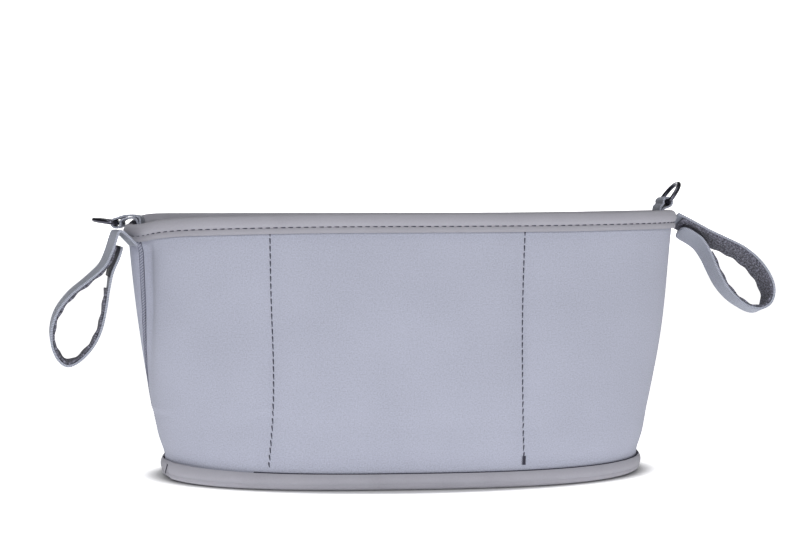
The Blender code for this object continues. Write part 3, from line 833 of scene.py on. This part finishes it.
def divider_grid(x, front_x, columns, rows):
    points = np.zeros((rows, columns, 3))
    for row in range(rows):
        for column in range(columns):
            across = 2.0 * column / (columns - 1) - 1.0
            foot = DIVIDER_FOOT + (DIVIDER_CORNER - DIVIDER_FOOT) * ramp(abs(across), 0.6, 0.2)
            z = foot + (DIVIDER_TOP - foot) * row / (rows - 1)
            here = front_x + (x - front_x) * (1.0 + across) / 2.0
            level = max(z, FOOT_EDGE)
            reach = min(wall_reach(abs(here) + 0.0016, level), wall_reach(abs(here) - 0.0016, level))
            sway = 0.0007 * math.sin(3.0 * across + 20.0 * z) * (1.0 - across ** 4) * row / (rows - 1)
            points[row, column] = (here + sway, across * reach, z)
    return points


def make_divider(side, x, front_x):
    points = divider_grid(x, front_x, 41, 49)
    wall = lay_cloth("divider_" + side + "_cloth", points, NEOPRENE, neoprene,
                     (1.0, 0.0, 0.0), side=0.0)
    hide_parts("divider_" + side)
    top = points[-1, 2:-2] * np.array([1.0, 0.985, 1.0])
    rows = [top + np.array([out * 0.0020, 0.0, 0.0012 - drop]) for out, drop in DIVIDER_FOLD]
    tape = lay_cloth("divider_" + side + "_tape", np.array(rows), TAPE, binding_tape,
                     (-1.0, 0.0, 0.0), side=1.0)
    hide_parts("divider_binding_" + side)
    print("divider", side, "stands", round((DIVIDER_TOP - DIVIDER_FOOT) * 1000), "mm high")


make_divider("left", -DIVIDER_X, -DIVIDER_X)
make_divider("right", DIVIDER_X, RIGHT_FRONT_X)

# %% [markdown]
# ## Stitching
# The rim is held by a row of dark lockstitches, about five to the inch, and each
# divider by a row up the front panel and one up the back. Each stitch is an arch of
# thread whose ends go down into the cloth. A finer row of dark stitches just above
# the foot tape is painted shade: it draws the shadow line in the gap between the
# tape and the panel. Three slanted dark stitches at the tape's lap are painted
# shade as well, for its dark folds and the shadow of its cut edge.

# %% Rows of lockstitch
RIM_PITCH = 0.0045
FOOT_PITCH = 0.0028
DIVIDER_PITCH = 0.0044
rim_stitch = make_stitch(0.0042, 0.00105, 0.00038)
body_stitch = make_stitch(0.0036, 0.00085, 0.00035)
# The foot stitch is painted shade: it draws the shadow line above the foot tape.
foot_shade_line_stitch = make_stitch(0.0030, 0.00075, 0.00020)


def lengths_along(points):
    return np.concatenate([[0.0], np.cumsum(np.linalg.norm(np.diff(points, axis=0), axis=1))])


def points_at(wanted, lengths, points):
    return np.stack([np.interp(wanted, lengths, axis) for axis in points.T], axis=1)


def row_of_stitches(angles, z, out, pitch, level, inward=False):
    """Seats at an even pitch along a line on the bag, facing as the oval does at a level."""
    points = bag_point(angles, z, out)
    lengths = lengths_along(points)
    wanted = np.arange(pitch / 2.0, lengths[-1], pitch)
    places = points_at(wanted, lengths, points)
    ahead = points_at(wanted + 0.0004, lengths, points)
    at = np.interp(wanted, lengths, angles)
    outward = oval_normal(at, np.full(len(at), level)) * (-1.0 if inward else 1.0)
    return [seat(place, way, face) for place, way, face in zip(places, ahead - places, outward)]


def rim_row(outside):
    angles = ring_of_angles(HEIGHT, 2401)
    z = rim_height(angles) - TAPE - rim_stitch_depth(angles)
    out = 0.0004 + TAPE + 0.0002 if outside else -0.0035 - TAPE - 0.0002
    return row_of_stitches(angles, z, out, RIM_PITCH, HEIGHT, inward=not outside)


def foot_shade_line_row():
    """Painted shade: dark stitches along the shadow line over the foot tape, from the first divider
    round to the back.
    """
    angles = angles_by_length(0.0, math.pi + 1.0, math.pi + TURN - 0.3, 2401)[0]
    z = foot_leg(angles) + end_lift(angles) + 0.0007
    return row_of_stitches(angles, z, 0.0010, FOOT_PITCH, 0.0)


def lap_shade_lines():
    """Painted shade: three slanted dark stitches on the foot tape's lap, for its dark folds and the
    shadow of its cut edge.
    """
    seats = []
    for past, slant in ((0.30, -0.3), (0.37, 0.15), (0.45, 0.6)):
        angle = math.pi + past
        middle = 0.0062 + float(end_lift(angle))
        here = bag_point(angle, middle, 0.0030)
        along = Vector(bag_point(angle + 0.01, middle, 0.0030) - here).normalized()
        down = Vector((0.0, 0.0, -1.0))
        seats.append(seat(here, down + slant * along, oval_normal(angle, 0.0)))
    return seats


# The lap stitches are painted shade, for the dark folds and the cut edge of the lap.
sew("foot_lap_shade_lines", make_stitch(0.0062, 0.00060, 0.00050), lap_shade_lines(), dark_thread)
# The foot row is painted shade: dark stitches for the shadow line above the foot tape.
sew("foot_stitching_as_shade_line", foot_shade_line_stitch, foot_shade_line_row(), dark_thread)
sew("rim_stitching", rim_stitch, rim_row(True), dark_thread)
sew("rim_stitching_inside", rim_stitch, rim_row(False), dark_thread)


def divider_row(x, front, drift):
    seats = []
    z = 0.0145
    while z < HEIGHT - 0.0110:
        angle = angle_at(x + drift(z), z, front)
        here = bag_point(angle, z, 0.00025)
        above = bag_point(angle, z + 0.002, 0.00025)
        seats.append(seat(here, above - here, oval_normal(angle, z)))
        z += DIVIDER_PITCH
    return seats


def bartack():
    """Dense cross stitches that lock the right row at the foot."""
    seats = []
    for step in range(9):
        z = 0.0135 + 0.0006 * step
        angle = angle_at(RIGHT_FRONT_X + right_drift(z), z, True)
        here = bag_point(angle, z, 0.0003)
        beside = bag_point(angle + 0.01, z, 0.0003)
        seats.append(seat(here, beside - here, oval_normal(angle, z)))
    return seats


def left_drift(z):
    return 0.0006 + 0.0020 * bump(z - 0.065, 0.045) - 0.0022 * bump(z, 0.030)


def right_drift(z):
    return 0.0008 - 0.0030 * math.sin(0.85 * math.pi * min(1.0, (HEIGHT - z) / 0.145))


for side, x, front_x, drift in (("left", -DIVIDER_X, -DIVIDER_X, left_drift),
                                ("right", DIVIDER_X, RIGHT_FRONT_X, right_drift)):
    rows = divider_row(front_x, True, drift) + divider_row(x, False, drift)
    sew("divider_" + side + "_stitching", body_stitch, rows, dark_thread)
bartack_stitch = make_stitch(0.0019, 0.00070, 0.00015)
sew("divider_right_bartack", bartack_stitch, bartack(), dark_thread)

# %% [markdown]
# The side seams are flat-locked: the panels butt together, and thread zigzags over
# the joint in short slanted bars between two lines of chain. The bars are copies
# of one longer stitch. The same ladder shows on the inside of the bag.

# %% Side seams
SEAM_PITCH = 0.0017
seam_bar = make_stitch(0.0034, 0.00055, 0.00030)
seam_chain = make_stitch(0.0020, 0.00040, 0.00020)


def seam_seats(seam_angle, outside):
    bars, chains = [], []
    z = 0.0135
    while z < HEIGHT - 0.014:
        angle = float(seam_angle(z))
        out = 0.0001 if outside else -NEOPRENE - 0.0001
        here = Vector(bag_point(angle, z, out))
        ahead = Vector(bag_point(angle + 0.004, z, out))
        above = Vector(bag_point(float(seam_angle(z + 0.002)), z + 0.002, out))
        outward = Vector(oval_normal(angle, z)) * (1.0 if outside else -1.0)
        across = (ahead - here).normalized()
        up = (above - here).normalized()
        bars.append(seat(here, across + 0.75 * up, outward))
        for edge in (-1.0, 1.0):
            chains.append(seat(here + across * edge * 0.0013 - outward * 0.0001, up, outward))
        z += SEAM_PITCH
    return bars, chains


for side, seam_angle in (("left", left_seam), ("right", right_seam)):
    for where, outside in (("", True), ("_inside", False)):
        bars, chains = seam_seats(seam_angle, outside)
        sew("seam_" + side + where + "_bars", seam_bar, bars, grey_thread)
        sew("seam_" + side + where + "_chain", seam_chain, chains, grey_thread)

# %% [markdown]
# ## The D-rings
# Each ring is a bent wire: a straight bar that the webbing tab holds, two short
# sides and a round bow. A Bezier circle is given the seven points of that shape,
# a bevel makes the wire, and the result is turned about the bar to its pose. ROUND
# is the length of handle that makes a quarter circle of radius 1.

# %% Rings
RING_WIDTH = 0.025
RING_LENGTH = 0.0176
RING_WIRE = 0.0028
RING_CORNER = 0.0035
LEFT_BAR = Vector((-0.1763, 0.0, 0.15698))
RIGHT_BAR = Vector((0.167, 0.0, 0.1698))
LEFT_SWING = math.radians(8.0)
RIGHT_SWING = math.radians(54.0)
ROUND = 0.5523


def make_ring(name, bar, direction):
    bpy.ops.curve.primitive_bezier_circle_add(radius=0.01)
    ring = bpy.context.object
    curve = ring.data
    half = (RING_WIDTH - RING_WIRE) / 2.0
    start = RING_LENGTH - RING_WIRE - half
    corner, bow = RING_CORNER * ROUND, half * ROUND
    shape = (
        ((0.0, half - RING_CORNER), (0.0, 0.0), (0.0, half - RING_CORNER + corner)),
        ((RING_CORNER, half), (RING_CORNER - corner, half), (RING_CORNER + 0.001, half)),
        ((start, half), (start - 0.001, half), (start + bow, half)),
        ((start + half, 0.0), (start + half, bow), (start + half, -bow)),
        ((start, -half), (start + bow, -half), (start - 0.001, -half)),
        ((RING_CORNER, -half), (RING_CORNER + 0.001, -half), (RING_CORNER - corner, -half)),
        ((0.0, -half + RING_CORNER), (0.0, -half + RING_CORNER - corner), (0.0, 0.0)),
    )
    curve.splines[0].bezier_points.add(len(shape) - 4)
    for point, (place, before, after) in zip(curve.splines[0].bezier_points, shape):
        point.handle_left_type = point.handle_right_type = "FREE"
        point.co = (*place, 0.0)
        point.handle_left = (*before, 0.0)
        point.handle_right = (*after, 0.0)
    curve.bevel_depth = RING_WIRE / 2.0
    curve.bevel_resolution = 6
    curve.resolution_u = 14
    ring.location = bar
    ring.rotation_euler = (0.0, -direction, 0.0)
    bpy.ops.object.convert(target="MESH")
    ring = bpy.context.object
    bpy.ops.object.transform_apply(location=True, rotation=True, scale=True)
    bpy.ops.object.mode_set(mode="EDIT")
    bpy.ops.mesh.select_all(action="SELECT")
    bpy.ops.mesh.remove_doubles(threshold=0.00001)
    bpy.ops.mesh.normals_make_consistent(inside=False)
    bpy.ops.object.mode_set(mode="OBJECT")
    bpy.ops.object.shade_smooth()
    ring.name = name + "_wire"
    give_material(ring, gunmetal)
    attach(ring, name)
    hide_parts(name)
    print(name, "bar at", [round(value, 4) for value in bar])


make_ring("ring_left", LEFT_BAR, math.pi - LEFT_SWING)
make_ring("ring_right", RIGHT_BAR, RIGHT_SWING)

# %% [markdown]
# ## Webbing
# A band of webbing is a route, a direction across it and a width. The route is a
# smooth curve through a few points, and the band is laid along it as a grid, so
# that it can twist, end in round corners and ripple where it is soft.


# %% Bands along a route
def smooth_route(points, samples):
    """A Catmull-Rom curve through the points, evenly spaced along its length."""
    points = np.array(points, float)
    ends = np.concatenate([[2 * points[0] - points[1]], points, [2 * points[-1] - points[-2]]])
    fine = []
    for before, here, after, beyond in zip(ends, ends[1:], ends[2:], ends[3:]):
        for step in range(24):
            t = step / 24
            square = (2 * before - 5 * here + 4 * after - beyond) * t ** 2
            cube = (3 * here - before - 3 * after + beyond) * t ** 3
            fine.append(0.5 * (2 * here + (after - before) * t + square + cube))
    fine = np.array(fine + [points[-1]])
    lengths = lengths_along(fine)
    return points_at(np.linspace(0.0, lengths[-1], samples), lengths, fine)


def across_band(twist, samples):
    """The direction across a band at each sample, from (share of length, direction) pairs."""
    shares = [share for share, direction in twist]
    directions = np.array([direction for share, direction in twist])
    across = points_at(np.linspace(0.0, 1.0, samples), shares, directions)
    return across / np.linalg.norm(across, axis=1, keepdims=True)


def band_grid(points, across, width, side=0.0, rows=9, rounded=0.0, ripple=None):
    """Side moves the band off its route, and rounded is the radius of its last end."""
    count = len(points)
    along = np.gradient(points, axis=0)
    along /= np.linalg.norm(along, axis=1, keepdims=True)
    off = np.cross(across, along)
    off /= np.linalg.norm(off, axis=1, keepdims=True)
    to_end = path_length(points) * (1.0 - np.linspace(0.0, 1.0, count))
    half = np.full(count, width / 2.0)
    if rounded:
        short = np.clip(1.0 - to_end / rounded, 0.0, 1.0)
        half = half - 0.8 * rounded * (1.0 - np.sqrt(1.0 - short ** 2))
    grid = []
    for row in range(rows):
        share = 2.0 * row / (rows - 1) - 1.0
        push = np.full(count, side)
        if ripple is not None:
            push = push + ripple(to_end, share)
        grid.append(points + off * push[:, None] + across * (half * share)[:, None])
    return np.array(grid)


def make_band(name, points, across, width, thickness, material, slot, node, **shape):
    grid = band_grid(points, across, width, **shape)
    facing = np.cross(grid[1, 0] - grid[0, 0], grid[0, 1] - grid[0, 0])
    band = lay_cloth(name, grid, thickness, material, facing, side=0.0)
    if node:
        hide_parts(node)
    return band


# %% [markdown]
# The loops are webbing faced inside with loop tape, and a tab of hook tape on the
# free end closes them. The route of each is in millimetres from its root, in the
# upright plane that stands out of the rim there, as on the solid.

# %% Strap loops
WEBBING_WIDTH = 0.020
WEBBING_THICKNESS = 0.0014
LEFT_ROUTE = (
    (0.0, 0.0), (-4.0, 4.5), (-7.4, 7.9), (-9.8, 8.6), (-11.4, 4.6), (-13.9, -3.4),
    (-17.8, -11.8), (-26.0, -19.8), (-35.6, -28.0), (-42.8, -37.4), (-46.2, -47.4),
    (-46.2, -57.6), (-42.8, -66.2), (-37.4, -70.4), (-30.6, -67.6), (-23.4, -59.6),
    (-18.9, -50.0), (-16.2, -38.0), (-14.5, -26.0), (-12.8, -16.2), (-9.8, -8.2),
    (-7.4, -0.6),
)
RIGHT_ROUTE = (
    (0.0, 0.0), (10.9, -5.6), (21.8, -11.3), (32.7, -16.3), (42.3, -21.0),
    (50.8, -27.4), (57.2, -34.6), (61.7, -42.9), (62.8, -50.6), (60.4, -56.4),
    (54.6, -58.8), (46.6, -56.6), (38.1, -50.8), (30.9, -42.5), (25.6, -32.8),
    (21.2, -23.6), (16.4, -16.4), (10.1, -11.8), (3.1, -8.2),
)
LEFT_TWIST = (
    (0.0, (-0.36, 0.93, 0.0)), (0.10, (-0.36, 0.93, 0.0)), (0.22, (-0.34, 0.94, 0.0)),
    (0.40, (-0.26, 0.97, 0.0)), (0.60, (-0.16, 0.99, 0.0)), (0.85, (-0.20, 0.98, 0.0)),
    (1.0, (-0.30, 0.95, 0.0)),
)
RIGHT_TWIST = (
    (0.0, (-0.03, 0.94, -0.335)), (0.5, (-0.03, 0.94, -0.335)), (0.62, (-0.03, 0.99, -0.08)),
    (0.82, (-0.03, 0.98, -0.14)), (0.92, (-0.03, 0.94, -0.30)), (1.0, (-0.03, 0.94, -0.335)),
)
NAP_END = 0.86
HOOK_START = 0.90
STRAP_SAMPLES = 181
MILLIMETRE = 0.001
NAP_THICKNESS = 0.0012
STRAP_CORNER = 0.006


def strap_route(angle, drop, standoff, heading, route):
    """A route that starts on the bag, below the rim and off its surface, and heads outward."""
    z = float(rim_height(angle)) - drop
    root = plain_oval(angle, z) + oval_normal(angle, z) * (float(main_push(angle, z)) + standoff)
    outward = oval_normal(heading, HEIGHT)
    points = []
    for out, rise in route:
        across = outward * (out * MILLIMETRE / outward[0])
        points.append(root + across + np.array([0.0, 0.0, rise * MILLIMETRE]))
    return smooth_route(points, STRAP_SAMPLES)


def make_strap(side, points, twist, inner_side, nap_start):
    across = across_band(twist, len(points))
    make_band("strap_" + side + "_webbing", points, across, WEBBING_WIDTH, WEBBING_THICKNESS,
              webbing, "webbing", "strap_" + side, rounded=STRAP_CORNER)
    last = len(points) - 1
    facing_off = inner_side * (WEBBING_THICKNESS / 2.0 + 0.0008)

    def rumple(to_end, share):
        return inner_side * 0.00035 * np.sin(to_end / 0.0017 + 2.0 * share) * abs(share)

    nap = slice(round(nap_start * last), round(NAP_END * last) + 1)
    make_band("loop_" + side + "_nap", points[nap], across[nap], WEBBING_WIDTH - 0.0010,
              NAP_THICKNESS, loop_nap, "loop_tape", "loop_tape_" + side,
              side=facing_off, rows=13, ripple=rumple)
    hooks = slice(round(HOOK_START * last), last + 1)
    make_band("hook_" + side + "_tape", points[hooks], across[hooks], WEBBING_WIDTH - 0.0016,
              NAP_THICKNESS, hook_rows, "hook_tape", "hook_tape_" + side,
              side=facing_off, rounded=STRAP_CORNER)


left_strap = strap_route(math.pi + 0.30, 0.01257, 0.00205, math.pi + 0.14, LEFT_ROUTE)
right_strap = strap_route(0.0, 0.0055, 0.0026, 0.0, RIGHT_ROUTE)
make_strap("left", left_strap, LEFT_TWIST, -1.0, 0.12)
make_strap("right", right_strap, RIGHT_TWIST, 1.0, 0.02)

# %% [markdown]
# A short tab of the same webbing is sewn inside the rim at each end. It goes up,
# round the ring's bar and down again, and holds the ring where it is put.

# %% Ring tabs
TAB_WIDTH = 0.0175
TAB_THICKNESS = 0.0012
TAB_DEPTH = 0.011


def tab_edge_angle():
    return math.asin(((TAB_WIDTH / 2.0 + TAB_DEPTH / 5.0) / RIM_HALF[1]) ** (ROUNDNESS / 2.0))


def inner_reach(angle, z):
    lining = NEOPRENE + 0.0007 + 0.001 + 0.0007 + TAB_THICKNESS / 2.0
    point = plain_oval(angle, z) + oval_normal(angle, z) * (float(main_push(angle, z)) - lining)
    return abs(float(point[0]))


def make_tab(side, angle, bar, over_rim):
    hold = RING_WIRE / 2.0 + 0.0009 + TAB_THICKNESS / 2.0
    layer = TAB_THICKNESS + 0.00035
    edge = angle + tab_edge_angle()
    top = max(float(rim_height(spot)) for spot in (angle - tab_edge_angle(), angle, edge))
    seat_x, foot_x = inner_reach(edge, top), inner_reach(edge, top - TAB_DEPTH)
    over = top + 0.00035 + TAB_THICKNESS / 2.0
    reach = abs(bar.x)
    route = [(foot_x, top - TAB_DEPTH), ((foot_x + seat_x) / 2.0, top - TAB_DEPTH / 2.0), (seat_x, top)]
    arc = (-70.0, 200.0)
    inner = [(seat_x - 0.9 * layer, top + layer)]
    if over_rim:
        route[-1] = (seat_x, top - TAB_THICKNESS)
        route += [(seat_x + layer, over), (seat_x + 0.55 * (reach - seat_x), over)]
        arc = (-205.0, 95.0)
        inner = [(seat_x + 0.55 * (reach - seat_x), over + 1.1 * layer),
                 (seat_x + 0.1 * (reach - seat_x), over + 0.9 * layer), (seat_x - 0.8 * layer, over)]
    for step in range(7):
        turn = math.radians(arc[0] + (arc[1] - arc[0]) * step / 6)
        route.append((reach + hold * math.cos(turn), bar.z + hold * math.sin(turn)))
    route += inner
    route += [((foot_x + seat_x) / 2.0 - layer, top - TAB_DEPTH / 2.0),
              (foot_x - layer, top - TAB_DEPTH)]
    sign = math.copysign(1.0, bar.x)
    points = smooth_route([(sign * out, 0.0, up) for out, up in route], 101)
    across = np.tile([0.0, 1.0, 0.0], (len(points), 1))
    make_band("ring_tab_" + side + "_webbing", points, across, TAB_WIDTH, TAB_THICKNESS,
              webbing, "webbing", "ring_tab_" + side)


make_tab("left", math.pi, LEFT_BAR, True)
make_tab("right", 0.0, RIGHT_BAR, False)

# %% [markdown]
# ## Floor and light
# The photograph is a packshot: a white sweep with only a thin dark shadow under
# the foot. Away from the bag the floor glows, and so does a backdrop, so that they
# stay white while the room is dimmer. A soft light overhead whitens the floor near
# the bag and brightens the fold of the rim, and one in front shapes the panel.


# %% Floor
SHADE_HALF = (0.150, 0.063)
SHADE_BLUR = 1.12
FLOOR_GLOW = 0.90


def white_plane(name, finish, colour, size, place, turn):
    """A plane of the stage that can glow. Its node tree and shader come back."""
    bpy.ops.mesh.primitive_plane_add(size=size, location=place, rotation=turn)
    plane = bpy.context.object
    plane.name = name
    material, tree, shader = new_finish(finish, colour, 0.9)
    shader.inputs["Emission Color"].default_value = (1.0, 1.0, 1.0, 1.0)
    plane.data.materials.append(material)
    plane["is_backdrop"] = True
    return tree, shader


def make_floor():
    """The glow fades out over an oval a little larger than the foot."""
    tree, shader = white_plane("floor", "white_sweep", (0.85, 0.85, 0.86), 12.0,
                               (0.0, 0.0, 0.0), (0.0, 0.0, 0.0))
    shrink = tree.nodes.new("ShaderNodeVectorMath")
    shrink.operation = "MULTIPLY"
    shrink.inputs[1].default_value = (1.0 / SHADE_HALF[0], 1.0 / SHADE_HALF[1], 0.0)
    away = tree.nodes.new("ShaderNodeVectorMath")
    away.operation = "LENGTH"
    tree.links.new(coordinates(tree, "Object"), shrink.inputs[0])
    tree.links.new(shrink.outputs["Vector"], away.inputs[0])
    glow = tree.nodes.new("ShaderNodeMapRange")
    glow.interpolation_type = "SMOOTHSTEP"
    for limit, value in zip(("From Min", "From Max", "To Min", "To Max"),
                            (1.0, SHADE_BLUR, 0.0, FLOOR_GLOW)):
        glow.inputs[limit].default_value = value
    tree.links.new(away.outputs["Value"], glow.inputs["Value"])
    tree.links.new(glow.outputs["Result"], shader.inputs["Emission Strength"])
    tree, shader = white_plane("backdrop", "white_backdrop", (0.9, 0.9, 0.9), 4.6,
                               (0.0, 5.0, 0.0), (math.pi / 2.0, 0.0, 0.0))
    shader.inputs["Emission Strength"].default_value = 1.0


make_floor()


# %% Lights
def area_light(name, place, target, size, watts):
    bpy.ops.object.light_add(type="AREA", location=place)
    lamp = bpy.context.object
    lamp.name = name
    lamp.data.shape = "DISK"
    lamp.data.size = size
    lamp.data.energy = watts
    lamp.rotation_euler = (Vector(target) - Vector(place)).to_track_quat("-Z", "Y").to_euler()


area_light("top_light", (0.0, -0.25, 1.3), (0.0, -0.02, 0.0), 0.9, 3.5)
area_light("key_light", (-0.12, -2.1, 0.85), (0.0, 0.0, 0.08), 0.7, 20.0)

bpy.context.scene.view_settings.view_transform = "Standard"
world = bpy.data.worlds.new("white_room")
bpy.context.scene.world = world
world.use_nodes = True
background = world.node_tree.nodes["Background"]
background.inputs["Color"].default_value = (1.0, 1.0, 1.0, 1.0)
background.inputs["Strength"].default_value = 0.12

# %% [markdown]
# ## Last measurements
# Both boxes, of the solids and of the finished look, are measured and printed.
# The finished look must stay within the size of the solids.

# %% Sizes and the end
drawn_low, drawn_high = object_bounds()
sizes = {"cad": [list(solid_low), list(solid_high)], "visual": [list(drawn_low), list(drawn_high)]}
for name, (low, high) in sizes.items():
    print(name, [round((top - bottom) * 1000, 1) for bottom, top in zip(low, high)], "mm")
